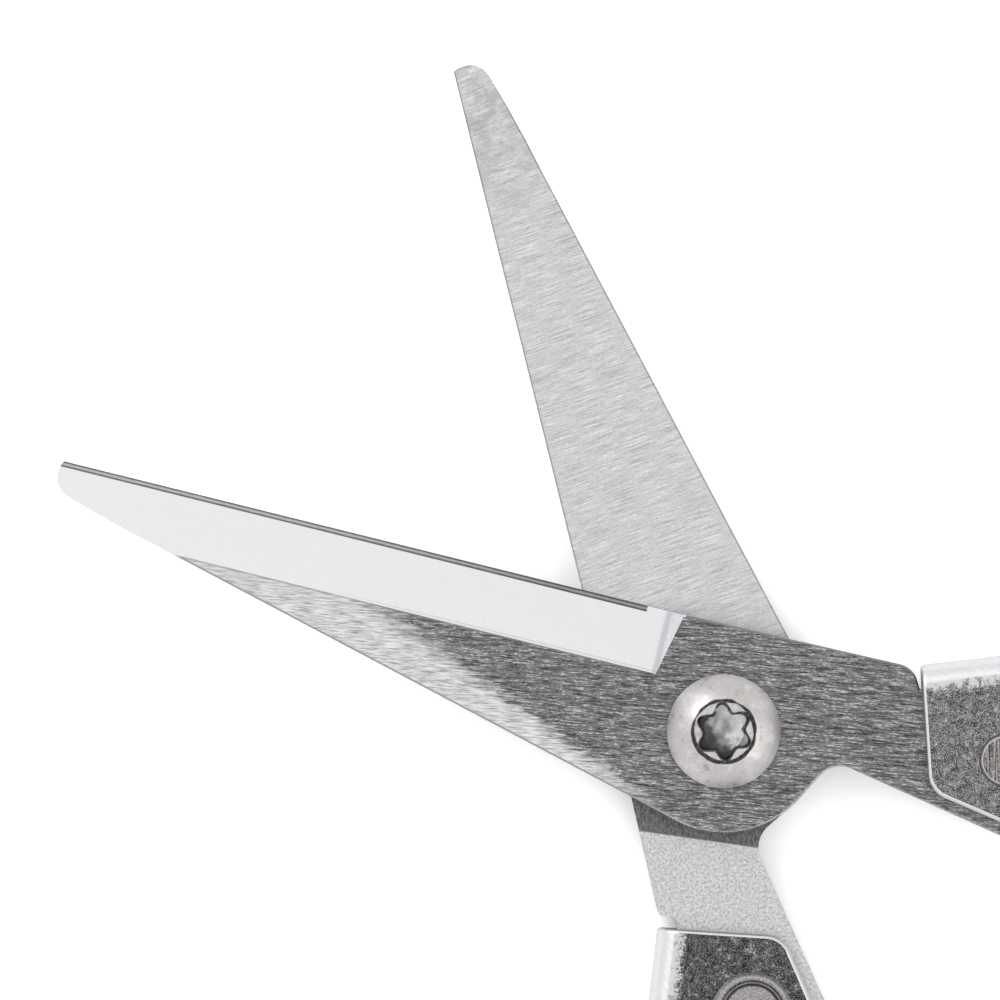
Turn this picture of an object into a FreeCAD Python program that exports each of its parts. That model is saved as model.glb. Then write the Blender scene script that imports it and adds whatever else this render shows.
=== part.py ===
import FreeCAD, Part
import math
import os

import Sketcher

# Spring-loaded thread snips: two ground blades turn on a barrel nut and a six-lobe screw,
# and each blade's tang is riveted into a folded sheet-steel handle.
#
# Row frame: the origin is on the pivot axis at the face that the snips rest on, +Y runs along
# the mid-line towards the tips and +Z out of the front face.
# Each half is drawn in its own half frame: origin on the pivot axis, +Y parallel to the cutting
# edge towards the tip, and +X towards the cutting edge, which is also the side of the handle's
# spine. The rear half is the mirror image of the front half, one blade thickness lower.

SIZES = {
    # opening
    "half_opening": 24.5,
    "edge_lean": 6.56,
    # heights of the stack
    "blade_thickness": 1.4,
    "blade_gap": 0.04,
    "wall": 0.7,
    # blade
    "edge_x": 4.52,
    "tip_y": 30.93,
    "tip_back_x": 3.02,
    "tip_back_y": 30.30,
    "tip_radius": 1.0,
    "belly_x": 1.78,
    "belly_y": 25.61,
    "belly_radius": 60.0,
    "heel_top_x": -4.307,
    "heel_top_y": 1.064,
    "heel_end_x": -2.24,
    "heel_end_y": -3.84,
    "heel_radius": 4.44,
    "notch_in_x": -0.80,
    "notch_in_y": -4.60,
    "notch_out_x": -0.28,
    "notch_out_y": -5.97,
    "notch_radius": 1.2,
    "plunge_y": 3.5,
    "plunge_run": 0.6,
    "plunge_end": 0.03,
    "bevel_width": 2.8,
    "bevel_edge": 0.22,
    "hone_y": 4.56,
    "hone_width": 0.25,
    "hone_edge": 0.05,
    "blade_break": 0.08,
    # tang
    "tang_turn_x": -1.6,
    "tang_turn_y": -13.3,
    "tang_toe_in_x": 1.9,
    "tang_toe_in_y": -24.0,
    "tang_toe_out_x": 8.7,
    "tang_toe_out_y": -23.4,
    "tang_out_x": 6.95,
    "tang_out_y": -16.4,
    "tang_neck_x": 3.86,
    "front_neck_y": -7.9,
    "rear_neck_y": -7.38,
    "rear_neck_radius": 0.4,
    "shoulder_x": 4.72,
    "front_shoulder_y": -7.4,
    "front_shoulder_radius": 1.0,
    "rear_shoulder_y": -7.22,
    "rear_shoulder_radius": 0.35,
    # handle
    "spine_front_x": 4.88,
    "spine_front_y": -7.68,
    "spine_heading": 20.56,
    "spine_run": 10.03,
    "spine_radius": 47.0,
    "spine_radius_rear": 100.0,
    "spine_heading_end": -22.56,
    "handle_width": 8.0,
    "end_sweep": 140.0,
    "inner_waist_x": -1.02,
    "inner_waist_y": -13.2,
    "inner_front_x": -0.53,
    "inner_front_y": -10.25,
    "mouth_x": 0.24,
    "mouth_y": -9.16,
    "mouth_radius": 1.225,
    "fold_radius": 0.95,
    "sheet_break": 0.2,
    "channel_over": 3.0,
    # pivot
    "barrel_radius": 1.7,
    "barrel_clearance": 0.03,
    "barrel_bore": 1.25,
    "nut_head_radius": 2.9,
    "nut_head_break": 0.3,
    "head_radius": 2.5,
    "head_height": 1.55,
    "head_rim": 0.35,
    "head_clearance": 0.03,
    "nut_floor": 0.9,
    "shank_radius": 1.24,
    "shank_length": 2.3,
    "recess_tip_radius": 1.26,
    "recess_root_radius": 0.88,
    "recess_lobe_radius": 0.17,
    "recess_depth": 0.85,
    "recess_point": 0.3,
    "recess_rim_radius": 1.39,
    "recess_rim_drop": 0.44,
    "recess_turn": 19.5,
    # rivets and pins
    "rivet_radius": 1.175,
    "rivet_clearance": 0.01,
    "rivet_break": 0.12,
    "rivet_head_radius": 1.78,
    "rivet_head_height": 0.28,
    "rivet_groove_radius": 1.36,
    "rivet_groove_depth": 0.12,
    "front_rivet_x": 1.75,
    "front_rivet_y": -12.31,
    "rear_rivet_x": 4.70,
    "rear_rivet_y": -20.20,
    "spring_pin_x": 7.10,
    "spring_pin_y": -33.0,
    # opening spring
    "wire_radius": 0.5,
    "eye_clearance": 0.03,
    "eye_sweep": 300.0,
    "spring_apex_y": -20.5,
    # catch
    "catch_x": 2.2,
    "catch_y": -59.6,
    "catch_thickness": 0.6,
    "catch_float": 0.05,
    "catch_clearance": 0.04,
    "catch_half_width": 2.0,
    "catch_slot_radius": 1.15,
    "catch_slot_end_radius": 1.2,
    "catch_slot_back": 0.3,
    "catch_heel_radius": 2.05,
    "catch_nose": 1.3,
    "catch_stow_angle": 14.5,
    "catch_washer_radius": 1.9,
    "stud_radius": 0.95,
    "stud_drop": 1.2,
    "stud_head_radius": 1.5,
    "stud_head_height": 0.36,
}

FACE_TOLERANCE = 1e-4
STAR_POINTS = 6


def handle_corners():
    """The corners of the handle's outline and of its channel, worked out along the spine.

    The spine is a straight run and two arcs that meet it and each other smoothly. A heading is
    measured from -Y towards +X, and the handle lies on the right of the way along it.
    """

    def along(heading):
        return FreeCAD.Vector(math.sin(heading), -math.cos(heading), 0)

    def inward(heading):
        return FreeCAD.Vector(-math.cos(heading), -math.sin(heading), 0)

    first = math.radians(SIZES["spine_heading"])
    middle = -math.radians(SIZES["edge_lean"])
    last = math.radians(SIZES["spine_heading_end"])
    sweep = math.radians(SIZES["end_sweep"])
    width = SIZES["handle_width"]
    wall = SIZES["wall"]
    over = SIZES["channel_over"]
    radius = SIZES["spine_radius"]
    radius_rear = SIZES["spine_radius_rear"]
    radius_end = width / (1 - math.cos(sweep))
    spine_front = FreeCAD.Vector(SIZES["spine_front_x"], SIZES["spine_front_y"], 0)
    spine_bend = spine_front + along(first) * SIZES["spine_run"]
    spine_mid = spine_bend + (inward(first) - inward(middle)) * radius
    spine_end = spine_mid + (inward(middle) - inward(last)) * radius_rear
    end_centre = spine_end + inward(last) * radius_end
    corners = {
        "spine_bend": spine_bend,
        "spine_mid": spine_mid,
        "spine_end": spine_end,
        "end_tip": end_centre - inward(last - sweep) * radius_end,
        "inner_end": spine_end + inward(last) * width,
        "inner_mid": spine_mid + inward(middle) * width,
        "inner_bend": spine_bend + inward(first) * width,
        "channel_front": spine_front + inward(first) * wall - along(first) * over,
        "channel_bend": spine_bend + inward(first) * wall,
        "channel_mid": spine_mid + inward(middle) * wall,
        "channel_end": spine_end + inward(last) * wall,
        "channel_tip": end_centre - inward(last - sweep) * (radius_end - wall),
        "channel_tip_out": end_centre - inward(last - sweep) * (radius_end - wall) + inward(last) * over,
        "channel_mid_out": spine_mid + inward(middle) * (width + over),
    }
    cell_values = {"end_radius": round(radius_end, 6)}
    for name, corner in corners.items():
        cell_values[f"{name}_x"] = round(corner.x, 6)
        cell_values[f"{name}_y"] = round(corner.y, 6)
    return cell_values


doc = FreeCAD.newDocument("thread_snips")
sheet = doc.addObject("Spreadsheet::Sheet", "Sizes")
for row_number, (alias, value) in enumerate((SIZES | handle_corners()).items(), start=1):
    sheet.set(f"A{row_number}", alias)
    sheet.set(f"B{row_number}", str(value))
    sheet.setAlias(f"B{row_number}", alias)
doc.recompute()
ALIASES = sorted(SIZES | handle_corners(), key=len, reverse=True)


def size(alias):
    """The number in the sheet's cell of that alias."""
    return float(getattr(sheet, alias))


def cells(text):
    """Turn plain aliases in an expression into references to the sheet."""
    out = ""
    position = 0
    while position < len(text):
        for word in ALIASES:
            if text.startswith(word, position):
                out += "Sizes." + word
                position += len(word)
                break
        else:
            out += text[position]
            position += 1
    return out


def value_of(text):
    """The number that an expression in aliases stands for."""
    return float(sheet.evalExpression(cells(text)))


class Half:
    """One half of the snips: which side its handle is on and how high its blade lies."""

    def __init__(self, name, side, blade_level):
        self.name = name
        self.side = side
        self.blade_level = blade_level
        self.shell_level = f"{blade_level} - wall"
        self.turn = f"{side} * (half_opening + edge_lean)"


FRONT = Half("front", 1, "wall + blade_thickness + blade_gap")
REAR = Half("rear", -1, "wall")


def new_body(label, level="0", turn="0"):
    """A PartDesign body at a height, turned about the pivot axis."""
    body = doc.addObject("PartDesign::Body", label)
    body.Label = label
    # Any turn but zero fixes the axis that the angle's expression then works about.
    body.Placement = FreeCAD.Placement(FreeCAD.Vector(), FreeCAD.Rotation(FreeCAD.Vector(0, 0, 1), 1))
    body.setExpression("Placement.Base.z", cells(level))
    body.setExpression("Placement.Rotation.Angle", cells(turn))
    return body


def origin_plane(body, role):
    """One of the body's own origin planes, by its role."""
    return next(feature for feature in body.Origin.OriginFeatures if feature.Role == role)


def new_sketch(body, name, role="XY_Plane", height=None):
    """A sketch on one of the body's origin planes, raised by an expression."""
    sketch = body.newObject("Sketcher::SketchObject", name)
    sketch.AttachmentSupport = [(origin_plane(body, role), "")]
    sketch.MapMode = "FlatFace"
    if height is not None:
        sketch.setExpression("AttachmentOffset.Base.z", cells(height))
    doc.recompute()
    return sketch


def bind(sketch, constraint, expression):
    """Add a constraint whose number comes from the sheet."""
    index = sketch.addConstraint(constraint)
    sketch.setExpression(f"Constraints[{index}]", cells(expression))


def draw_outline(sketch, corners):
    """Draw a closed outline.

    Each corner is (x, y, bulge): two expressions, and None for a straight run to the next corner
    or (radius expression, +1 to bulge to the left of the run, -1 to the right).
    """
    places = [FreeCAD.Vector(value_of(x), value_of(y), 0) for x, y, bulge in corners]
    starts = []
    for number, (x, y, bulge) in enumerate(corners):
        here = places[number]
        there = places[(number + 1) % len(places)]
        if bulge is None:
            index = sketch.addGeometry(Part.LineSegment(here, there))
            starts.append((index, 1, 2))
            continue
        radius = value_of(bulge[0])
        run = there - here
        left = FreeCAD.Vector(-run.y, run.x, 0).normalize()
        sagitta = radius - math.sqrt(radius**2 - (run.Length / 2) ** 2)
        middle = (here + there) / 2 + left * (bulge[1] * sagitta)
        index = sketch.addGeometry(Part.Arc(here, middle, there))
        forward = sketch.getPoint(index, 1).distanceToPoint(here) < FACE_TOLERANCE
        starts.append((index, 1, 2) if forward else (index, 2, 1))
    for number, (x, y, bulge) in enumerate(corners):
        index, first, last = starts[number]
        following, following_first, following_last = starts[(number + 1) % len(starts)]
        sketch.addConstraint(Sketcher.Constraint("Coincident", index, last, following, following_first))
        bind(sketch, Sketcher.Constraint("DistanceX", -1, 1, index, first, places[number].x), x)
        bind(sketch, Sketcher.Constraint("DistanceY", -1, 1, index, first, places[number].y), y)
        if bulge is not None:
            bind(sketch, Sketcher.Constraint("Radius", index, value_of(bulge[0])), bulge[0])


def draw_circle(sketch, x, y, radius):
    """Draw a circle whose centre and radius are expressions."""
    centre = FreeCAD.Vector(value_of(x), value_of(y), 0)
    index = sketch.addGeometry(Part.Circle(centre, FreeCAD.Vector(0, 0, 1), value_of(radius)))
    bind(sketch, Sketcher.Constraint("Radius", index, value_of(radius)), radius)
    bind(sketch, Sketcher.Constraint("DistanceX", -1, 1, index, 3, centre.x), x)
    bind(sketch, Sketcher.Constraint("DistanceY", -1, 1, index, 3, centre.y), y)


def pad(body, name, sketch, length):
    """Pad a sketch along its plane's normal."""
    feature = body.newObject("PartDesign::Pad", name)
    feature.Profile = sketch
    feature.setExpression("Length", cells(length))
    doc.recompute()
    return feature


def pocket(body, name, sketch, length, reverse=False):
    """Cut a sketch out of the body and make sure that something was cut."""
    before = body.Shape.Volume
    feature = body.newObject("PartDesign::Pocket", name)
    feature.Profile = sketch
    feature.setExpression("Length", cells(length))
    feature.Reversed = reverse
    doc.recompute()
    if not body.Shape.Volume < before:
        raise RuntimeError(f"{body.Label}.{name} cuts nothing")
    return feature


def loft(body, name, sections):
    """Cut away what lies between two sections, joined by flat sides."""
    before = body.Shape.Volume
    feature = body.newObject("PartDesign::SubtractiveLoft", name)
    feature.Profile = sections[0]
    feature.Sections = sections[1:]
    feature.Ruled = True
    doc.recompute()
    if not body.Shape.Volume < before:
        raise RuntimeError(f"{body.Label}.{name} cuts nothing")
    return feature


def revolve(body, name, sketch):
    """Turn a sketch on the XZ plane about the body's Z axis."""
    feature = body.newObject("PartDesign::Revolution", name)
    feature.Profile = sketch
    feature.ReferenceAxis = (sketch, ["V_Axis"])
    feature.Angle = 360
    doc.recompute()
    return feature


def dress(body, kind, name, edges, amount):
    """Fillet or chamfer edges of the body's present tip, given as their numbers."""
    base = body.Tip
    feature = body.newObject(f"PartDesign::{kind}", name)
    feature.Base = (base, [f"Edge{number}" for number in edges])
    feature.setExpression("Radius" if kind == "Fillet" else "Size", cells(amount))
    doc.recompute()
    return feature


def numbered_edges(body, wanted):
    """The numbers of the edges of the body's tip for which wanted(edge) is true."""
    return [number for number, edge in enumerate(body.Tip.Shape.Edges, start=1) if wanted(edge)]


def mirrored(half, corners):
    """An outline drawn for the front half, as expressions for the half that is asked for."""
    turned = []
    for x, y, bulge in corners:
        if bulge is not None:
            bulge = (bulge[0], bulge[1] * half.side)
        turned.append((f"{half.side} * ({x})", y, bulge))
    return turned


def named(corner, bulge=None):
    """A corner whose place is in the cells CORNER_x and CORNER_y."""
    return (f"{corner}_x", f"{corner}_y", bulge)


def lies_at(edge, height):
    """Whether an edge lies flat at a height."""
    return all(abs(vertex.Z - height) < FACE_TOLERANCE for vertex in edge.Vertexes)


def round_corner(body, half, corner, x):
    """Round the upright edge that stands on an outline's corner."""

    def stands_there(edge):
        return all(
            math.hypot(vertex.X - half.side * size(x), vertex.Y - size(f"{corner}_y")) < FACE_TOLERANCE
            for vertex in edge.Vertexes
        )

    dress(body, "Fillet", f"{corner}_round", numbered_edges(body, stands_there), f"{corner}_radius")


def make_blade(half):
    """A ground blade with its tang: the wide bevel, the honed edge, the pivot and rivet holes."""
    body = new_body(f"{half.name}_blade", half.blade_level, half.turn)
    sketch = new_sketch(body, f"{half.name}_blade_outline")
    corners = [
        ("edge_x", "tip_y", ("tip_radius", -1)),
        named("tip_back", ("belly_radius", -1)),
        named("belly"),
        named("heel_top", ("heel_radius", -1)),
        named("heel_end"),
        named("notch_in", ("notch_radius", 1)),
        named("notch_out"),
        named("tang_turn"),
        named("tang_toe_in"),
        named("tang_toe_out"),
        named("tang_out"),
        ("tang_neck_x", f"{half.name}_neck_y", None),
        ("shoulder_x", f"{half.name}_shoulder_y", None),
        ("edge_x", "plunge_y", None),
    ]
    draw_outline(sketch, mirrored(half, corners))
    pad(body, f"{half.name}_blade_plate", sketch, "blade_thickness")

    round_corner(body, half, f"{half.name}_shoulder", "shoulder_x")
    if half is REAR:
        round_corner(body, half, f"{half.name}_neck", "tang_neck_x")

    outer = size("blade_thickness") if half is FRONT else 0.0
    point = FreeCAD.Vector(half.side * size("edge_x"), size("tip_y"), outer)

    def is_rim(edge):
        """Whether an edge is on the outer face and does not end at the blade's point."""
        clear = all(vertex.Point.distanceToPoint(point) > FACE_TOLERANCE for vertex in edge.Vertexes)
        return lies_at(edge, outer) and clear

    dress(body, "Chamfer", f"{half.name}_blade_break", numbered_edges(body, is_rim), "blade_break")

    # The bevel's section: full thickness at the shoulder line, down to the edge.
    outer_z = "blade_thickness" if half is FRONT else "0"
    inner_z = "0" if half is FRONT else "blade_thickness"
    away = 1 if half is FRONT else -1
    for name, start, width, depth in (
        ("bevel", "plunge_y", "bevel_width", "bevel_edge"),
        ("hone", "hone_y", "hone_width", "hone_edge"),
    ):
        if name == "bevel":
            shoulder_z = outer_z
        else:
            slope = "(blade_thickness - bevel_edge) / bevel_width"
            shoulder_z = f"{inner_z} + {away} * (bevel_edge + hone_width * {slope})"
        section = new_sketch(body, f"{half.name}_{name}_section", "XZ_Plane", f"-({start})")
        draw_outline(section, [
            (f"{half.side} * (edge_x - {width})", shoulder_z, None),
            (f"{half.side} * edge_x", f"{inner_z} + {away} * {depth}", None),
            (f"{half.side} * (edge_x + wall)", f"{inner_z} + {away} * {depth}", None),
            (f"{half.side} * (edge_x + wall)", f"{outer_z} + {away} * wall", None),
            (f"{half.side} * (edge_x - {width})", f"{outer_z} + {away} * wall", None),
        ])
        pocket(body, f"{half.name}_{name}", section, "tip_y")

    # The wheel ran out of the bevel up a slanted ramp, which dies out towards the shoulder.
    ends = []
    for name, start, width, depth in (
        ("root", "plunge_y", "bevel_width", "(blade_thickness - bevel_edge)"),
        ("crest", "plunge_y - plunge_run", "plunge_end", "plunge_end"),
    ):
        section = new_sketch(body, f"{half.name}_plunge_{name}", "XZ_Plane", f"-({start})")
        draw_outline(section, [
            (f"{half.side} * (edge_x - {width})", outer_z, None),
            (f"{half.side} * edge_x", f"{outer_z} - {away} * {depth}", None),
            (f"{half.side} * (edge_x + wall)", f"{outer_z} - {away} * {depth}", None),
            (f"{half.side} * (edge_x + wall)", outer_z, None),
        ])
        ends.append(section)
    loft(body, f"{half.name}_plunge", ends)

    holes = new_sketch(body, f"{half.name}_blade_holes")
    draw_circle(holes, "0", "0", "barrel_radius + barrel_clearance")
    for rivet in ("front_rivet", "rear_rivet"):
        draw_circle(holes, f"{half.side} * {rivet}_x", f"{rivet}_y", "rivet_radius + rivet_clearance")
    pocket(body, f"{half.name}_blade_drill", holes, "blade_thickness", reverse=True)
    return body


def make_shell(half):
    """A handle folded from sheet steel: a channel closed along its spine and round its end."""
    body = new_body(f"{half.name}_handle_shell", half.shell_level, half.turn)
    height = "blade_thickness + 2 * wall"
    spine = [
        named("spine_front"),
        named("spine_bend", ("spine_radius", 1)),
        named("spine_mid", ("spine_radius_rear", 1)),
        named("spine_end", ("end_radius", 1)),
    ]
    inner = [
        named("end_tip"),
        named("inner_end", ("spine_radius_rear - handle_width", -1)),
        named("inner_mid", ("spine_radius - handle_width", -1)),
        named("inner_bend"),
        named("inner_waist"),
        named("inner_front", ("mouth_radius", 1)),
        named("mouth"),
    ]
    outline = mirrored(half, spine + inner)
    sketch = new_sketch(body, f"{half.name}_shell_outline")
    draw_outline(sketch, outline)
    pad(body, f"{half.name}_shell_block", sketch, height)

    # The fold runs along the spine and round the end, on both faces.
    corners = [(value_of(x), value_of(y)) for x, y, bulge in outline]
    top = value_of(height)

    def follows_fold(edge):
        if not (lies_at(edge, 0) or lies_at(edge, top)):
            return False
        ends = {
            number
            for number in range(len(spine) + 1)
            for vertex in edge.Vertexes
            if math.hypot(vertex.X - corners[number][0], vertex.Y - corners[number][1]) < FACE_TOLERANCE
        }
        return len(ends) == 2

    dress(body, "Fillet", f"{half.name}_shell_fold", numbered_edges(body, follows_fold), "fold_radius")

    # The sheet's cut edges run from the mouth's end of the spine back to the inner side's far end.
    cut_corners = corners[len(spine) + 1:]

    def is_cut_edge(edge):
        if not (lies_at(edge, 0) or lies_at(edge, top)):
            return False
        at_corners = sum(
            math.hypot(vertex.X - x, vertex.Y - y) < FACE_TOLERANCE
            for vertex in edge.Vertexes
            for x, y in cut_corners
        )
        by_spine_front = any(
            math.hypot(vertex.X - corners[0][0], vertex.Y - corners[0][1]) < 2 * size("fold_radius")
            for vertex in edge.Vertexes
        )
        return at_corners == 2 or (at_corners == 1 and by_spine_front)

    dress(body, "Fillet", f"{half.name}_shell_break", numbered_edges(body, is_cut_edge), "sheet_break")

    # Inside, the channel is one wall in from the spine and from the end, and open elsewhere.
    channel = new_sketch(body, f"{half.name}_channel_outline", "XY_Plane", "wall")
    draw_outline(channel, mirrored(half, [
        named("channel_front"),
        named("channel_bend", ("spine_radius - wall", 1)),
        named("channel_mid", ("spine_radius_rear - wall", 1)),
        named("channel_end", ("end_radius - wall", 1)),
        named("channel_tip"),
        named("channel_tip_out"),
        named("channel_mid_out"),
        ("inner_waist_x - channel_over", "inner_waist_y", None),
        ("inner_waist_x - channel_over", "spine_front_y + channel_over", None),
    ]))
    pocket(body, f"{half.name}_channel", channel, "blade_thickness", reverse=True)

    holes = new_sketch(body, f"{half.name}_shell_holes")
    for pin in ("front_rivet", "rear_rivet", "spring_pin", "catch"):
        draw_circle(holes, f"{half.side} * {pin}_x", f"{pin}_y", "rivet_radius + rivet_clearance")
    pocket(body, f"{half.name}_shell_drill", holes, height, reverse=True)
    return body


def place_on(body, half, point):
    """Stand a body's own axis on a named point of a half."""
    turn = "(half_opening + edge_lean)"
    across = f"{half.side} * ({point}_x * cos({turn}) - {point}_y * sin({turn}))"
    along = f"{point}_x * sin({turn}) + {point}_y * cos({turn})"
    body.setExpression("Placement.Base.x", cells(across))
    body.setExpression("Placement.Base.y", cells(along))
    doc.recompute()


def make_turned(label, corners, level="0"):
    """A turned piece: a section of (radius, height) corners revolved about its axis."""
    body = new_body(label, level)
    section = new_sketch(body, f"{label}_section", "XZ_Plane")
    draw_outline(section, corners)
    revolve(body, f"{label}_turned", section)
    return body


BARREL_TOP = "(wall + 2 * blade_thickness + blade_gap + head_clearance)"


def make_nut():
    """The blind barrel nut that both blades turn on, with a flat head at the back."""
    body = make_turned("pivot_nut", [
        ("0", "0", None),
        ("nut_head_radius - nut_head_break", "0", None),
        ("nut_head_radius", "nut_head_break", None),
        ("nut_head_radius", "wall", None),
        ("barrel_radius", "wall", None),
        ("barrel_radius", BARREL_TOP, None),
        ("barrel_bore", BARREL_TOP, None),
        ("barrel_bore", "nut_floor", None),
        ("0", "nut_floor", None),
    ])
    return body


def star_wire(height):
    """The six-lobe outline of the driver recess: rounded tips joined by hollow flanks."""
    tip = size("recess_tip_radius")
    root = size("recess_root_radius")
    lobe = size("recess_lobe_radius")
    lobe_ring = tip - lobe
    half_step = math.pi / STAR_POINTS
    # The flank's arc touches the root circle and both of the lobes beside it.
    flank = (root**2 + lobe_ring**2 - 2 * root * lobe_ring * math.cos(half_step) - lobe**2) / (
        2 * (lobe_ring * math.cos(half_step) + lobe - root)
    )
    flank_ring = root + flank

    def polar(radius, angle):
        return FreeCAD.Vector(radius * math.cos(angle), radius * math.sin(angle), height)

    start = math.radians(size("recess_turn")) + math.pi / 2
    edges = []
    for number in range(STAR_POINTS):
        angle = start + 2 * half_step * number
        centre = polar(lobe_ring, angle)
        touches = []
        for side in (-1, 1):
            hollow = polar(flank_ring, angle + side * half_step)
            touches.append(centre + (hollow - centre).normalize() * lobe)
        edges.append(Part.Arc(touches[0], polar(tip, angle), touches[1]).toShape())
        following = polar(lobe_ring, angle + 2 * half_step)
        hollow = polar(flank_ring, angle + half_step)
        next_touch = following + (hollow - following).normalize() * lobe
        edges.append(Part.Arc(touches[1], polar(root, angle + half_step), next_touch).toShape())
    return Part.Wire(edges)


def make_screw():
    """The button-head screw with a six-lobe recess, which closes the barrel nut."""
    dome = "(head_height - head_rim)"
    blank = make_turned("pivot_screw_blank", [
        ("0", f"{BARREL_TOP} - shank_length", None),
        ("shank_radius", f"{BARREL_TOP} - shank_length", None),
        ("shank_radius", BARREL_TOP, None),
        ("head_radius", BARREL_TOP, None),
        ("head_radius", f"{BARREL_TOP} + head_rim",
         (f"(head_radius * head_radius + {dome} * {dome}) / (2 * {dome})", -1)),
        ("0", f"{BARREL_TOP} + head_height", None),
    ])
    top = value_of(f"{BARREL_TOP} + head_height")
    floor = top - size("recess_rim_drop")
    depth = size("recess_depth")
    star = Part.Face(star_wire(floor - depth)).extrude(FreeCAD.Vector(0, 0, depth))
    cone = Part.makeCone(
        0, size("recess_root_radius"), size("recess_point"),
        FreeCAD.Vector(0, 0, floor - depth - size("recess_point")),
    )
    rim = Part.makeCylinder(size("recess_rim_radius"), top - floor, FreeCAD.Vector(0, 0, floor))
    tool = doc.addObject("Part::Feature", "recess_tool")
    tool.Shape = star.fuse([cone, rim])
    screw = doc.addObject("Part::Cut", "pivot_screw")
    screw.Base = blank
    screw.Tool = tool
    doc.recompute()
    return screw


def make_rivet(half, point, label):
    """A rivet through both walls of a handle: one end flush, the other formed over with rings."""
    height = "(blade_thickness + 2 * wall)"
    formed = f"{half.shell_level} + {height}" if half is REAR else half.shell_level
    up = 1 if half is REAR else -1
    body = make_turned(label, [
        (radius, f"{up} * ({level})", None)
        for radius, level in (
            ("0", "rivet_head_height"),
            ("rivet_radius", "rivet_head_height"),
            ("rivet_radius + rivet_break", "rivet_head_height - rivet_groove_depth"),
            ("rivet_groove_radius", "rivet_head_height - rivet_groove_depth"),
            ("rivet_groove_radius + rivet_break", "rivet_head_height"),
            ("rivet_head_radius - rivet_break", "rivet_head_height"),
            ("rivet_head_radius", "rivet_head_height - rivet_break"),
            ("rivet_head_radius", "0"),
            ("rivet_radius", "0"),
            ("rivet_radius", f"rivet_break - {height}"),
            ("rivet_radius - rivet_break", f"-{height}"),
            ("0", f"-{height}"),
        )
    ], formed)
    place_on(body, half, point)
    return body


def make_spring():
    """The opening spring: a wire bow across the handles with an eye on each spring pin."""
    turn = math.radians(value_of("half_opening + edge_lean"))
    pin_x = size("spring_pin_x") * math.cos(turn) - size("spring_pin_y") * math.sin(turn)
    pin_y = size("spring_pin_x") * math.sin(turn) + size("spring_pin_y") * math.cos(turn)
    eye = value_of("rivet_radius + eye_clearance + wire_radius")
    apex = size("spring_apex_y")
    # The bow passes over both pins, one eye radius away from each.
    rise = apex - pin_y
    bow = (pin_x**2 + rise**2 - eye**2) / (2 * (rise - eye))
    centre = FreeCAD.Vector(0, apex - bow, 0)
    eyes = []
    for side in (-1, 1):
        pin = FreeCAD.Vector(side * pin_x, pin_y, 0)
        touch_angle = math.atan2(pin.y - centre.y, pin.x - centre.x)
        points = []
        for share in (0, 0.5, 1):
            angle = touch_angle - side * share * math.radians(size("eye_sweep"))
            points.append(pin + FreeCAD.Vector(math.cos(angle), math.sin(angle), 0) * eye)
        eyes.append(points)
    left, right = eyes
    apex_point = FreeCAD.Vector(0, apex, 0)
    path = Part.Wire([
        Part.Arc(left[2], left[1], left[0]).toShape(),
        Part.Arc(left[0], apex_point, right[0]).toShape(),
        Part.Arc(right[0], right[1], right[2]).toShape(),
    ])
    first = path.OrderedEdges[0]
    section = Part.Wire(
        Part.Circle(left[2], first.tangentAt(first.FirstParameter), size("wire_radius")).toShape()
    )
    spring = doc.addObject("Part::Feature", "opening_spring")
    spring.Shape = path.makePipeShell([section], True, True)
    # The handles lie one blade and its gap apart in height, so the bow is tilted between them.
    step = value_of("blade_thickness + blade_gap")
    tilt = math.degrees(math.asin(step / (2 * pin_x)))
    level = value_of("wall + blade_thickness / 2") + step / 2
    spring.Placement = FreeCAD.Placement(
        FreeCAD.Vector(0, 0, level), FreeCAD.Rotation(FreeCAD.Vector(0, 1, 0), -tilt)
    )
    return spring


CATCH_LEVEL = "(wall + catch_float)"
CATCH_REACH = "(2 * (catch_x * cos(edge_lean) - catch_y * sin(edge_lean)))"


def make_catch_hook():
    """The catch: a flat lever in the rear handle whose slot takes the stud of the front one."""
    stow = "(half_opening + edge_lean - catch_stow_angle)"
    body = new_body("catch_hook", CATCH_LEVEL, f"-{stow}")
    sketch = new_sketch(body, "catch_hook_outline")
    nose = f"{CATCH_REACH} + catch_slot_radius"
    draw_outline(sketch, [
        ("-catch_half_width", "0", ("catch_heel_radius", -1)),
        ("catch_half_width", "0", None),
        ("catch_half_width", f"{CATCH_REACH} - catch_slot_radius", None),
        ("-catch_slot_back", f"{CATCH_REACH} - catch_slot_radius", ("catch_slot_end_radius", 1)),
        ("-catch_slot_back", nose, None),
        ("catch_half_width", nose, None),
        ("catch_half_width / 2", f"{nose} + catch_nose", None),
        ("-catch_half_width / 2", f"{nose} + catch_nose", None),
        ("-catch_half_width", nose, None),
    ])
    pad(body, "catch_hook_plate", sketch, "catch_thickness")
    hole = new_sketch(body, "catch_hook_hole")
    draw_circle(hole, "0", "0", "rivet_radius + catch_clearance")
    pocket(body, "catch_hook_drill", hole, "catch_thickness", reverse=True)
    place_on(body, REAR, "catch")
    return body


def make_catch_washer():
    """The washer that fills the rest of the channel over the catch."""
    low = f"{CATCH_LEVEL} + catch_thickness + catch_float"
    high = "wall + blade_thickness - catch_float"
    body = make_turned("catch_washer", [
        ("rivet_radius + catch_clearance", low, None),
        ("catch_washer_radius", low, None),
        ("catch_washer_radius", high, None),
        ("rivet_radius + catch_clearance", high, None),
    ])
    place_on(body, REAR, "catch")
    return body


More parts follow.
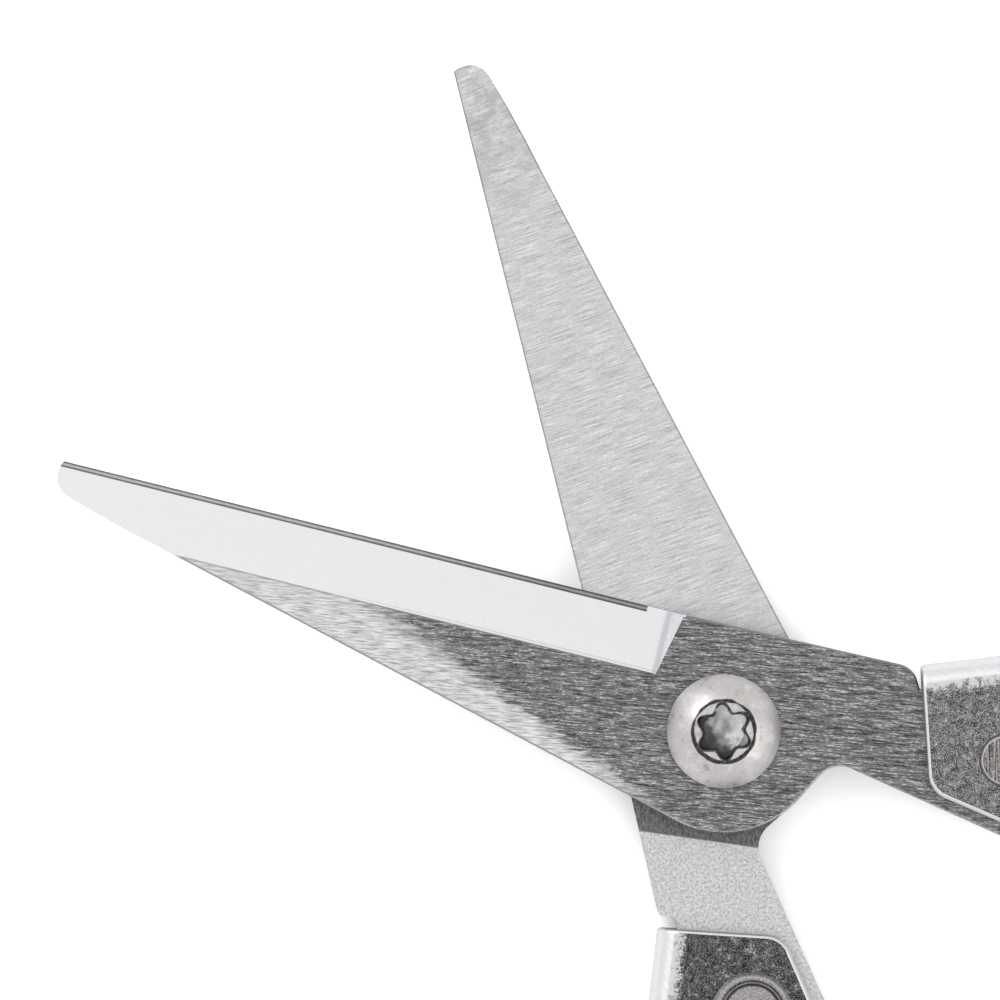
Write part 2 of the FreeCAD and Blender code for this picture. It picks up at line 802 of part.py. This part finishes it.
def make_catch_stud():
    """The headed stud under the end of the front handle, which the catch hooks on."""
    height = "(blade_thickness + 2 * wall)"
    body = make_turned("catch_stud", [
        ("0", "-stud_drop", None),
        ("stud_head_radius", "-stud_drop", None),
        ("stud_head_radius", "stud_head_height - stud_drop", None),
        ("stud_radius", "stud_head_height - stud_drop", None),
        ("stud_radius", "0", None),
        ("rivet_radius", "0", None),
        ("rivet_radius", f"{height} - rivet_break", None),
        ("rivet_radius - rivet_break", height, None),
        ("0", height, None),
    ], FRONT.shell_level)
    place_on(body, FRONT, "catch")
    return body


def check(nodes):
    """Stop if any object failed or any node is not one valid solid."""
    for item in doc.Objects:
        if "Invalid" in item.State or "Error" in item.State:
            raise RuntimeError(f"{item.Name} failed: {item.getStatusString()}")
    for node in nodes:
        shape = node.Shape
        if shape.isNull() or not shape.isValid() or len(shape.Solids) != 1:
            raise RuntimeError(f"{node.Label} is not one valid solid")


nodes = []
for half in (FRONT, REAR):
    nodes.append(make_blade(half))
    nodes.append(make_shell(half))
    for pin in ("front_rivet", "rear_rivet", "spring_pin"):
        nodes.append(make_rivet(half, pin, f"{half.name}_handle_{pin}"))
nodes.append(make_nut())
nodes.append(make_screw())
nodes.append(make_spring())
nodes.append(make_catch_hook())
nodes.append(make_catch_washer())
nodes.append(make_rivet(REAR, "catch", "catch_rivet"))
nodes.append(make_catch_stud())
doc.recompute()
check(nodes)
os.makedirs("parts", exist_ok=True)
for node in nodes:
    node.Shape.exportStep(f"parts/{node.Label}.step")
    print(node.Label, round(node.Shape.Volume, 2))
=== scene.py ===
import math

import bpy
from mathutils import Matrix, Vector


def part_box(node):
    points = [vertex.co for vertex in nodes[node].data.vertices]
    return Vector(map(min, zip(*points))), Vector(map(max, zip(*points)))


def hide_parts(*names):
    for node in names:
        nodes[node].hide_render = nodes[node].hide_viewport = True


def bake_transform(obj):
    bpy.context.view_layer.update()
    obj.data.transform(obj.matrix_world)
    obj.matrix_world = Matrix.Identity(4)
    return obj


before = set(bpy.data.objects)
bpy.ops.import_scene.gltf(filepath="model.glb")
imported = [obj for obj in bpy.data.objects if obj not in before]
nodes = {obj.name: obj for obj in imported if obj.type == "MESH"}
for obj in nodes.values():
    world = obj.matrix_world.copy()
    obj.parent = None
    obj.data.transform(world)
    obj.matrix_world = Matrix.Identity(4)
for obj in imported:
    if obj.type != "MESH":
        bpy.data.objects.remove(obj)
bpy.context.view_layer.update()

MILLIMETRE = 0.001

# How each half is turned from its half frame (cutting edge along +Y) to where it lies at rest.
HALF_TURN = math.radians(31.06)
SIDES = {"front": 1, "rear": -1}

# The light that falls on a surface facing the camera, as a multiple of plain white.
STUDIO_LIGHT = 1.7

# A plain steel's green and blue as shares of its red, which make it very slightly cool.
GREEN_SHARE = 0.992
BLUE_SHARE = 1.015

BUMP_DEPTH = 0.02 * MILLIMETRE


# ---------------------------------------------------------------- node helpers

class Graph:
    """A material's node tree with short calls for the nodes used here."""

    def __init__(self, name):
        self.material = bpy.data.materials.new(name)
        self.material.use_nodes = True
        self.tree = self.material.node_tree
        self.shader = self.tree.nodes["Principled BSDF"]

    def add(self, kind, inputs=None, **settings):
        node = self.tree.nodes.new(kind)
        for key, value in settings.items():
            setattr(node, key, value)
        for key, value in (inputs or {}).items():
            self.feed(node.inputs[key], value)
        return node

    def feed(self, socket, value):
        if isinstance(value, bpy.types.NodeSocket):
            self.tree.links.new(value, socket)
        else:
            socket.default_value = value

    def maths(self, operation, a, b=0.0, c=0.0):
        node = self.add("ShaderNodeMath", {0: a, 1: b, 2: c}, operation=operation)
        return node.outputs[0]

    def product(self, first, *others):
        """The product of masks: 1 where all of them are."""
        for other in others:
            first = self.maths("MULTIPLY", first, other)
        return first

    def off(self, a, b):
        """How far a is from b, either way."""
        return self.maths("ABSOLUTE", self.maths("SUBTRACT", a, b))

    def remap(self, value, low, high, to_low=0.0, to_high=1.0, shape="LINEAR"):
        """A range of values carried over to another, and held at its ends."""
        ends = {"From Min": low, "From Max": high, "To Min": to_low, "To Max": to_high}
        node = self.add(
            "ShaderNodeMapRange", {"Value": value, **ends}, interpolation_type=shape
        )
        return node.outputs["Result"]

    def step(self, value, low, high):
        """0 on low's side, 1 on high's side, smooth between."""
        return self.remap(value, low, high, shape="SMOOTHSTEP")

    def mix(self, share, a, b):
        """Mix two colours."""
        node = self.add("ShaderNodeMix", data_type="RGBA")
        self.feed(node.inputs[0], share)
        self.feed(node.inputs[6], a)
        self.feed(node.inputs[7], b)
        return node.outputs[2]

    def mix_number(self, share, a, b):
        """Mix two numbers."""
        node = self.add("ShaderNodeMix", data_type="FLOAT")
        self.feed(node.inputs[0], share)
        self.feed(node.inputs[2], a)
        self.feed(node.inputs[3], b)
        return node.outputs[0]

    def noise(self, vector, scale=1.0, detail=4.0, roughness=0.6, distortion=0.0):
        kind = {"Scale": scale, "Detail": detail, "Roughness": roughness, "Distortion": distortion}
        return self.add("ShaderNodeTexNoise", {"Vector": vector, **kind}).outputs[0]

    def millimetres(self):
        """Object coordinates in millimetres."""
        place = self.add("ShaderNodeTexCoord").outputs["Object"]
        return self.vector_maths("SCALE", {0: place, 3: 1 / MILLIMETRE})

    def vector_maths(self, operation, inputs):
        return self.add("ShaderNodeVectorMath", inputs, operation=operation).outputs[0]

    def turned(self, vector, angle, stretch=(1, 1, 1)):
        """A vector turned about Z by -angle, then stretched."""
        rotated = self.add(
            "ShaderNodeVectorRotate", {"Vector": vector, "Angle": -angle}, rotation_type="Z_AXIS"
        ).outputs[0]
        return self.vector_maths("MULTIPLY", {0: rotated, 1: stretch})

    def axes(self, vector):
        node = self.add("ShaderNodeSeparateXYZ", {0: vector})
        return node.outputs[0], node.outputs[1], node.outputs[2]

    def normal_z(self):
        coordinates = self.add("ShaderNodeTexCoord")
        return self.axes(coordinates.outputs["Normal"])[2]

    def streaks(self, vector, angle, length, width, detail=3.0):
        """Noise drawn out into scratches that run at an angle from Y."""
        stretched = self.turned(vector, angle, (1 / width, 1 / length, 1 / width))
        return self.noise(stretched, 1.0, detail, 0.65)

    def bump(self, height, strength):
        inputs = {"Height": height, "Strength": strength, "Distance": BUMP_DEPTH}
        return self.add("ShaderNodeBump", inputs).outputs[0]

    def finish(self, colour, roughness, normal=None, metallic=1.0):
        """Wire up the surface and give the finished material."""
        self.feed(self.shader.inputs["Base Color"], colour)
        self.feed(self.shader.inputs["Roughness"], roughness)
        self.shader.inputs["Metallic"].default_value = metallic
        if normal is not None:
            self.feed(self.shader.inputs["Normal"], normal)
        return self.material


def grey(value, warmth=0.0):
    """A metal's colour that comes out of the studio's light at the brightness asked for."""
    tone = value / STUDIO_LIGHT
    return (tone * (1 + warmth), tone * GREEN_SHARE, tone * (BLUE_SHARE - warmth), 1)


def dress(name, material):
    """Give a CAD node its material."""
    slots = nodes[name].data.materials
    slots.clear()
    slots.append(material)


# ---------------------------------------------------------------- blades

# In the half frame, in millimetres: the cutting edge, and the back as x = slope * y + offset.
EDGE_X = 4.52
BACK_SLOPE = 0.248
BACK_OFFSET = -4.571

# The bevel's width, the y where it starts, and the honed strip along its edge.
BEVEL_WIDTH = 2.8
PLUNGE_Y = 3.5
HONE_WIDTH = 0.25
HONE_START = 4.56

# The blasted tang lies below the line y - slope * x = TANG_LINE.
TANG_SLOPE = 0.404
TANG_LINE = -5.255

# How far the scratches lean from the blade's length.
BRUSH_LEAN = math.radians(9.0)
CROSS_LEAN = math.radians(84.0)
SQUARE_TO_EDGE = math.radians(90.0)


def blade_material(half):
    """Ground steel: dark lengthwise brushing outside, a bright bevel, a cross-ground inner face."""
    side = SIDES[half]
    g = Graph(f"{half}_blade_steel")
    place = g.turned(g.millimetres(), side * HALF_TURN, (side, 1, 1))
    x, y, _ = g.axes(place)
    facing = g.product(g.normal_z(), side)
    back_x = g.maths("MULTIPLY_ADD", y, BACK_SLOPE, BACK_OFFSET)
    from_back = g.maths("SUBTRACT", x, back_x)
    from_edge = g.maths("SUBTRACT", EDGE_X, x)

    # Outer face: dark, brushed a little off the length, whiter where the belt ran off the back.
    brush = g.streaks(place, BRUSH_LEAN, 0.75, 0.055, 4.0)
    fine = g.streaks(place, BRUSH_LEAN, 0.16, 0.045, 2.0)
    both = g.maths("ADD", brush, fine)
    outer = g.mix(g.remap(brush, 0.30, 0.70), grey(0.055), grey(0.31))
    outer = g.mix(g.step(both, 1.05, 1.24), outer, grey(0.60))
    outer = g.mix(g.step(both, 0.90, 0.78), outer, grey(0.045))
    worn_width = g.remap(y, 2.0, 20.0, 0.30, 3.1)
    tongues = g.maths("SUBTRACT", g.streaks(place, BRUSH_LEAN, 1.7, 0.17, 4.0), 0.5)
    ragged = g.maths("MULTIPLY_ADD", tongues, 2.6, from_back)
    unworn = g.step(g.maths("DIVIDE", ragged, worn_width), 0.60, 1.10)
    worn = g.product(g.maths("SUBTRACT", 1.0, unworn), g.step(y, 0.5, 6.0))
    worn_streaks = g.streaks(place, BRUSH_LEAN, 0.8, 0.06, 4.0)
    worn_colour = g.mix(g.remap(worn_streaks, 0.36, 0.58), grey(0.33), grey(0.83))
    by_tip = g.product(g.step(y, 15.0, 23.0), g.step(from_edge, 3.9, 3.0), 0.35)
    worn_colour = g.mix(by_tip, worn_colour, g.mix(brush, grey(0.34), grey(0.80)))
    outer = g.mix(worn, outer, worn_colour)
    past_bevel = g.step(g.maths("SUBTRACT", from_edge, BEVEL_WIDTH), 0.04, 0.10)
    by_bevel = g.product(g.maths("SUBTRACT", 1.0, past_bevel), g.step(y, PLUNGE_Y, 5.0), 0.6)
    outer = g.mix(by_bevel, outer, grey(0.30))

    # Bevel: nearly white, with faint lines square to the edge and a dark honed edge.
    ground = g.remap(g.streaks(place, SQUARE_TO_EDGE, 1.5, 0.045), 0.35, 0.65)
    bevel = g.mix(ground, grey(0.81), grey(0.87))
    shoulder = g.step(g.off(from_edge, BEVEL_WIDTH - 0.1), 0.05, 0.015)
    shoulder = g.product(shoulder, 0.4, g.step(y, 20.0, 12.0))
    bevel = g.mix(shoulder, bevel, grey(0.45))
    ramp = g.step(y, PLUNGE_Y + 0.02, PLUNGE_Y - 0.02)
    bevel = g.mix(ramp, bevel, g.mix(ground, grey(0.98), grey(1.25)))
    root = g.step(g.off(y, PLUNGE_Y + 0.08), 0.16, 0.03)
    bevel = g.mix(g.product(root, 0.5), bevel, grey(0.42))
    hone = g.step(from_edge, HONE_WIDTH + 0.02, HONE_WIDTH - 0.01)
    hone = g.product(hone, g.step(y, HONE_START - 0.06, HONE_START))
    hone_lines = g.streaks(place, 0.0, 0.35, 0.04)
    from_middle = g.maths("MULTIPLY_ADD", hone_lines, -0.10, g.off(from_edge, HONE_WIDTH * 0.5))
    honed = g.mix(g.step(from_middle, -0.03, 0.03), grey(0.50), grey(0.15))
    bevel = g.mix(hone, bevel, honed)

    # Inner face: pale cross-grinding as far as the joint, then a blasted tang.
    cross = g.streaks(place, CROSS_LEAN, 1.5, 0.05, 4.0)
    cross_fine = g.streaks(place, CROSS_LEAN, 0.3, 0.035, 2.0)
    speckle = g.noise(place, 9.0, 3.0)
    lay = g.maths("MULTIPLY_ADD", speckle, 0.3, g.product(cross, 0.7))
    both = g.maths("ADD", cross, cross_fine)
    inner = g.mix(g.remap(lay, 0.36, 0.64), grey(0.46), grey(0.78))
    inner = g.mix(g.step(both, 0.90, 0.74), inner, grey(0.42))
    inner = g.mix(g.step(both, 1.08, 1.26), inner, grey(0.86))
    stain = g.step(g.noise(place, 1.1, 4.0), 0.42, 0.60)
    stain = g.product(stain, g.step(y, 23.0, 28.5), 0.6)
    inner = g.mix(stain, inner, grey(0.40, 0.01))
    tang = g.mix(g.remap(speckle, 0.34, 0.66), grey(0.44), grey(0.80))
    slant = g.maths("MULTIPLY_ADD", x, -TANG_SLOPE, y)
    slant = g.maths("MULTIPLY_ADD", g.maths("SUBTRACT", fine, 0.5), 0.12, slant)
    on_tang = g.step(slant, TANG_LINE + 0.03, TANG_LINE - 0.03)
    # Below the heel, down to the tang: painted shadow of the other blade's heel over darker ground
    # steel.
    heel_shadow_and_dark_grind = g.mix(g.remap(fine, 0.35, 0.65), grey(0.08), grey(0.25))
    under_heel = g.step(y, 0.5, -0.5)
    inner = g.mix(under_heel, inner, heel_shadow_and_dark_grind)
    inner = g.mix(on_tang, inner, tang)
    at_edge = g.step(g.maths("MINIMUM", from_edge, from_back), 0.09, 0.03)
    edge_line = g.product(at_edge, g.step(y, 0.5, 1.5), 0.7)
    inner = g.mix(edge_line, inner, grey(0.20))

    # The broken rim shows grey along the back and lighter round the heel.
    heel_rim = g.mix(g.remap(fine, 0.4, 0.6), grey(0.30), grey(0.66))
    rim = g.mix(g.step(y, 2.5, 0.5), grey(0.36), heel_rim)
    rim = g.mix(g.step(x, 1.5, 3.0), rim, grey(0.26))
    side_wall = g.mix(cross, grey(0.30), grey(0.46))
    in_bevel = g.step(from_edge, BEVEL_WIDTH + 0.06, BEVEL_WIDTH)
    broken = g.mix(g.product(in_bevel, g.step(y, 2.80, 2.84)), rim, bevel)

    # The face's lean tells its kind, from square on outside to square on inside.
    colour = g.mix(g.step(facing, 0.95, 0.985), broken, outer)
    colour = g.mix(g.step(facing, 0.30, 0.20), colour, side_wall)
    colour = g.mix(g.step(facing, -0.96, -0.99), colour, inner)

    lines = g.mix_number(g.step(facing, 0.0, 0.1), cross, brush)
    rough = g.remap(lines, 0.3, 0.7, 0.36, 0.52)
    return g.finish(colour, rough, g.bump(lines, 0.2))


# ---------------------------------------------------------------- handles

# The spine's front end in the half frame, its heading there and the radius of its fold.
SPINE_FRONT = (4.88, -7.68)
SPINE_HEADING = math.radians(20.56)
FOLD_RADIUS = 0.95

# The darkest and lightest steel of each half's flats.
FLAT_TONES = {"front": (0.045, 0.24), "rear": (0.018, 0.13)}


def handle_material(half):
    """Polished sheet steel: dark scuffed flats and a drawn spine under a painted highlight, with
    painted shade where the fold turns sideways.
    """
    side = SIDES[half]
    g = Graph(f"{half}_handle_steel")
    place = g.turned(g.millimetres(), side * HALF_TURN, (side, 1, 1))
    x, y, _ = g.axes(place)
    facing = g.maths("ABSOLUTE", g.normal_z())
    off_spine = g.maths(
        "ADD",
        g.product(g.maths("SUBTRACT", SPINE_FRONT[0], x), math.cos(SPINE_HEADING)),
        g.product(g.maths("SUBTRACT", SPINE_FRONT[1], y), math.sin(SPINE_HEADING)),
    )

    mottle = g.noise(place, 3.0, 6.0, 0.75)
    scuff = g.noise(place, 9.0, 4.0, 0.7, 0.8)
    grain = g.noise(place, 22.0, 2.0, 0.6)
    scratch_a = g.streaks(place, math.radians(38), 0.7, 0.05)
    scratch_b = g.streaks(place, math.radians(-52), 0.55, 0.045)
    dark, light = FLAT_TONES[half]
    both = g.maths("ADD", mottle, scuff)
    flat = g.mix(g.remap(mottle, 0.35, 0.66), grey(dark, 0.03), grey(light, 0.015))
    flat = g.mix(g.product(g.step(grain, 0.50, 0.66), 0.7), flat, grey(light * 2.9))
    flat = g.mix(g.product(g.step(grain, 0.47, 0.36), 0.85), flat, grey(dark * 0.5))
    flat = g.mix(g.step(both, 1.10, 1.25), flat, grey(0.56, 0.01))
    flat = g.mix(g.step(both, 0.86, 0.74), flat, grey(dark * 0.6, 0.04))
    flat = g.mix(g.step(scratch_a, 0.64, 0.72), flat, grey(0.55))
    flat = g.mix(g.step(scratch_b, 0.66, 0.74), flat, grey(0.50))
    drawn = g.streaks(place, -SPINE_HEADING, 3.0, 0.08)
    # The spine's brightness is a painted highlight on the fold over its drawn lines; where the fold
    # turns sideways it is greyed by painted shade.
    spine = g.mix(g.remap(drawn, 0.3, 0.7), grey(0.74), grey(0.88))
    rolled = g.maths("SUBTRACT", 1.0, g.step(facing, 0.05, 0.35))
    spine = g.mix(g.product(rolled, 0.6), spine, grey(0.42))

    # The fold's painted highlight runs on into the flat in ragged light and dark blots where the
    # fold runs into the flat.
    off_fold = g.maths("SUBTRACT", off_spine, FOLD_RADIUS)
    blots = g.maths("MULTIPLY_ADD", g.maths("SUBTRACT", scuff, 0.5), 1.9, off_fold)
    blotted = g.product(g.step(blots, 0.30, 0.16), g.step(off_spine, 1.7, 1.2))
    flat = g.mix(blotted, flat, g.mix(g.step(mottle, 0.4, 0.5), grey(0.30), grey(0.72)))
    colour = g.mix(g.step(facing, 0.975, 0.992), spine, flat)
    flat_rough = g.remap(mottle, 0.3, 0.7, 0.24, 0.42)
    rough = g.mix_number(g.step(facing, 0.95, 0.99), 0.34, flat_rough)
    return g.finish(colour, rough, g.bump(mottle, 0.15))


# ---------------------------------------------------------------- turned and drawn pieces

# A rivet's hole, and the groove turned into its formed end.
RIVET_RADIUS = 1.175
RIVET_GROOVE = 1.26

# The screw's recess: the six-lobe outline's mean radius, its swing and its turn, and the rim.
STAR_MEAN = 1.08
STAR_SWING = 0.18
STAR_TURN = math.radians(109.5)
STAR_LOBES = 6.0
RECESS_RIM = 1.39

# The stowed catch lies this far from Y.
CATCH_LEAN = math.radians(-16.56)


def own_axis(g, centre):
    """A turned piece's place from its own centre, and its radius there."""
    place = g.vector_maths("SUBTRACT", {0: g.millimetres(), 1: centre})
    x, y, _ = g.axes(place)
    squares = g.maths("ADD", g.product(x, x), g.product(y, y))
    return place, g.maths("SQRT", squares)


def turned_tone(g, place, radius, grain_scale, ring):
    """Fine rings about the piece's own axis over a satin grain."""
    along = g.add("ShaderNodeCombineXYZ", {0: g.maths("DIVIDE", radius, ring)}).outputs[0]
    rings = g.noise(along, 1.0, 2.0)
    grain = g.noise(place, grain_scale, 3.0)
    return g.maths("MULTIPLY_ADD", grain, 0.55, g.product(rings, 0.45)), grain


def turned_material(name, centre, light, dark, warmth, ring, rough):
    """A lathe-turned face."""
    g = Graph(name)
    place, radius = own_axis(g, centre)
    tone, _ = turned_tone(g, place, radius, 12.0, ring)
    colour = g.mix(g.remap(tone, 0.38, 0.62), grey(dark, warmth), grey(light, warmth))
    roughness = g.remap(tone, 0.35, 0.65, rough - 0.06, rough + 0.08)
    return g.finish(colour, roughness, g.bump(tone, 0.3))


def drawn_material(name, angle, light, dark):
    """Drawn or rolled steel: fine lines along an angle from Y with a few pits."""
    g = Graph(name)
    place = g.millimetres()
    lines = g.streaks(place, angle, 2.0, 0.07)
    pits = g.noise(place, 8.0, 3.0)
    colour = g.mix(g.remap(lines, 0.32, 0.68), grey(dark), grey(light))
    colour = g.mix(g.step(pits, 0.34, 0.26), colour, grey(dark * 0.5, 0.02))
    return g.finish(colour, g.remap(lines, 0.3, 0.7, 0.30, 0.44), g.bump(lines, 0.2))


def rivet_material(name, centre, formed_side):
    """A rivet: one end formed over with a turned groove, the other filed flush with the handle."""
    g = Graph(name)
    place, radius = own_axis(g, centre)
    turned, grain = turned_tone(g, place, radius, 11.0, 0.07)
    formed = g.mix(g.remap(turned, 0.38, 0.62), grey(0.16, 0.03), grey(0.56, 0.03))
    groove = g.product(g.step(g.off(radius, RIVET_GROOVE), 0.10, 0.03), 0.8)
    formed = g.mix(groove, formed, grey(0.06, 0.02))

    lines = g.streaks(place, math.radians(-45), 1.4, 0.07)
    filed = g.maths("MULTIPLY_ADD", grain, 0.4, g.product(lines, 0.6))
    flush = g.mix(g.remap(filed, 0.42, 0.58), grey(0.05, 0.08), grey(0.44, 0.04))
    # A painted highlight in a ring round the flush end's rim.
    rim = g.step(radius, RIVET_RADIUS - 0.18, RIVET_RADIUS - 0.12)
    flush = g.mix(rim, flush, grey(0.74, 0.01))

    is_formed = g.step(g.product(g.normal_z(), formed_side), -0.1, 0.1)
    tone = g.mix_number(is_formed, filed, turned)
    colour = g.mix(is_formed, flush, formed)
    return g.finish(colour, g.remap(tone, 0.35, 0.65, 0.30, 0.44), g.bump(tone, 0.3))


def screw_material(centre):
    """A satin button head with soft painted highlights, its six-lobe recess outlined by painted
    shade along its edges.
    """
    g = Graph("pivot_screw_steel")
    place, radius = own_axis(g, centre)
    x, y, _ = g.axes(place)
    grain = g.noise(place, 14.0, 3.0)
    sheen_and_stain_cloud = g.noise(place, 1.6, 4.0)
    colour = g.mix(g.remap(grain, 0.35, 0.65), grey(0.53, 0.035), grey(0.68, 0.03))
    # Soft patches of painted highlight; the dark patches below are brown stains.
    colour = g.mix(g.step(sheen_and_stain_cloud, 0.48, 0.78), colour, grey(0.84, 0.01))
    colour = g.mix(g.product(g.step(sheen_and_stain_cloud, 0.42, 0.30), 0.5), colour, grey(0.24, 0.05))

    # The recess's bottom: painted shade on one side, painted light on the other.
    angle = g.maths("SUBTRACT", g.maths("ARCTAN2", y, x), STAR_TURN)
    waves = g.maths("COSINE", g.product(angle, STAR_LOBES))
    star = g.maths("MULTIPLY_ADD", waves, STAR_SWING, STAR_MEAN)
    past_star = g.maths("SUBTRACT", radius, star)
    painted_light = g.maths("MULTIPLY_ADD", g.maths("ADD", x, g.product(sheen_and_stain_cloud, 2.4)), 0.4, -0.1)
    bottom = g.mix(g.step(painted_light, 0.1, 0.85), grey(0.07, 0.02), grey(0.78, 0.02))
    colour = g.mix(g.step(past_star, 0.0, -0.04), colour, bottom)

    # Painted shade along the edges of the star and of the rim, uneven in width.
    shade_wobble = g.product(g.maths("SUBTRACT", g.noise(place, 1.3, 2.0), 0.36), 0.22)
    star_line = g.step(g.maths("SUBTRACT", g.off(past_star, -0.02), shade_wobble), 0.09, 0.02)
    rim_line = g.maths("SUBTRACT", g.off(radius, RECESS_RIM - 0.03), shade_wobble)
    rim_line = g.step(rim_line, 0.07, 0.02)
    edges = g.maths("MAXIMUM", star_line, rim_line)
    inside = g.step(radius, RECESS_RIM + 0.08, RECESS_RIM + 0.06)
    edge_shade = g.product(edges, g.remap(grain, 0.3, 0.6, 0.75, 1.0), inside)
    colour = g.mix(edge_shade, colour, grey(0.02))
    return g.finish(colour, g.remap(grain, 0.35, 0.65, 0.30, 0.42), g.bump(grain, 0.15))


def centre_of(name):
    """The middle of a CAD node's box, in millimetres."""
    low, high = (Vector(corner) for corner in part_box(name))
    return tuple((low + high) / (2 * MILLIMETRE))


# ---------------------------------------------------------------- assign

for half in SIDES:
    dress(f"{half}_blade", blade_material(half))
    dress(f"{half}_handle_shell", handle_material(half))
for name in nodes:
    if name.endswith(("rivet", "pin", "stud", "washer")):
        formed_side = -1 if name.startswith("front") else 1
        dress(name, rivet_material(f"{name}_steel", centre_of(name), formed_side))
dress("pivot_screw", screw_material((0, 0, 0)))
dress("pivot_nut", turned_material(
    "pivot_nut_steel", (0, 0, 0), light=0.74, dark=0.56, warmth=0.025, ring=0.16, rough=0.34
))
dress("opening_spring", drawn_material("spring_wire_steel", 0.0, 0.66, 0.40))
dress("catch_hook", drawn_material("catch_plate_steel", CATCH_LEAN, 0.60, 0.34))


# ---------------------------------------------------------------- camera, floor, light

VIEW_WIDTH = 43.86 * MILLIMETRE
AIM = Vector((0.233, 14.095, 2.8)) * MILLIMETRE
CAMERA_DISTANCE = 0.9
SENSOR_WIDTH = 36.0
CLIP_RANGE = (0.01, 20.0)
FLOOR_HALF = 2.0
FLOOR_DROP = 0.1 * MILLIMETRE
WORLD_STRENGTH = 1.5

# Straight above the blades, with the tool's mid-line running up to the left.
up = Vector((1, 1, 0)).normalized()
right = Vector((1, -1, 0)).normalized()
away = Vector((0, 0, 1))
camera_data = bpy.data.cameras.new("camera")
camera = bpy.data.objects.new("camera", camera_data)
bpy.context.scene.collection.objects.link(camera)
axes = Matrix((right, up, away)).transposed()
camera.matrix_world = Matrix.Translation(AIM + away * CAMERA_DISTANCE) @ axes.to_4x4()
camera_data.sensor_width = SENSOR_WIDTH
camera_data.lens = SENSOR_WIDTH * CAMERA_DISTANCE / VIEW_WIDTH
camera_data.clip_start, camera_data.clip_end = CLIP_RANGE
bpy.context.scene.camera = camera

floor_mesh = bpy.data.meshes.new("floor")
corners = [
    (x * FLOOR_HALF, y * FLOOR_HALF, -FLOOR_DROP) for x, y in [(-1, -1), (1, -1), (1, 1), (-1, 1)]
]
floor_mesh.from_pydata(corners, [], [(0, 1, 2, 3)])
floor = bpy.data.objects.new("floor", floor_mesh)
bpy.context.scene.collection.objects.link(floor)
paper = Graph("floor_paper")
paper.finish((0.98, 0.98, 0.98, 1), 0.9, metallic=0.0)
floor_mesh.materials.append(paper.material)

world = bpy.data.worlds.new("studio")
world.use_nodes = True
background = world.node_tree.nodes["Background"]
background.inputs["Color"].default_value = (1, 1, 1, 1)
background.inputs["Strength"].default_value = WORLD_STRENGTH
bpy.context.scene.world = world


def soft_light(name, place, size, power):
    """A square area light that faces the tool."""
    data = bpy.data.lights.new(name, "AREA")
    data.shape = "SQUARE"
    data.size = size
    data.energy = power
    light = bpy.data.objects.new(name, data)
    light.location = place
    light.rotation_euler = (-place).normalized().to_track_quat("-Z", "Y").to_euler()
    bpy.context.scene.collection.objects.link(light)


soft_light("key", up * 0.5 - right * 0.5 + away * 0.7, size=0.6, power=4.0)
soft_light("fill", right * 0.6 - up * 0.2 + away * 0.6, size=0.8, power=2.0)
bpy.context.scene.view_settings.view_transform = "Standard"


# ---------------------------------------------------------------- spring

# A copy of the spring's mesh, between the two halves, stands in for the CAD node, which is hidden.
spring_mesh = nodes["opening_spring"].data.copy()
spring = bpy.data.objects.new("spring_wire", spring_mesh)
bpy.context.scene.collection.objects.link(spring)
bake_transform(spring)
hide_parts("opening_spring")
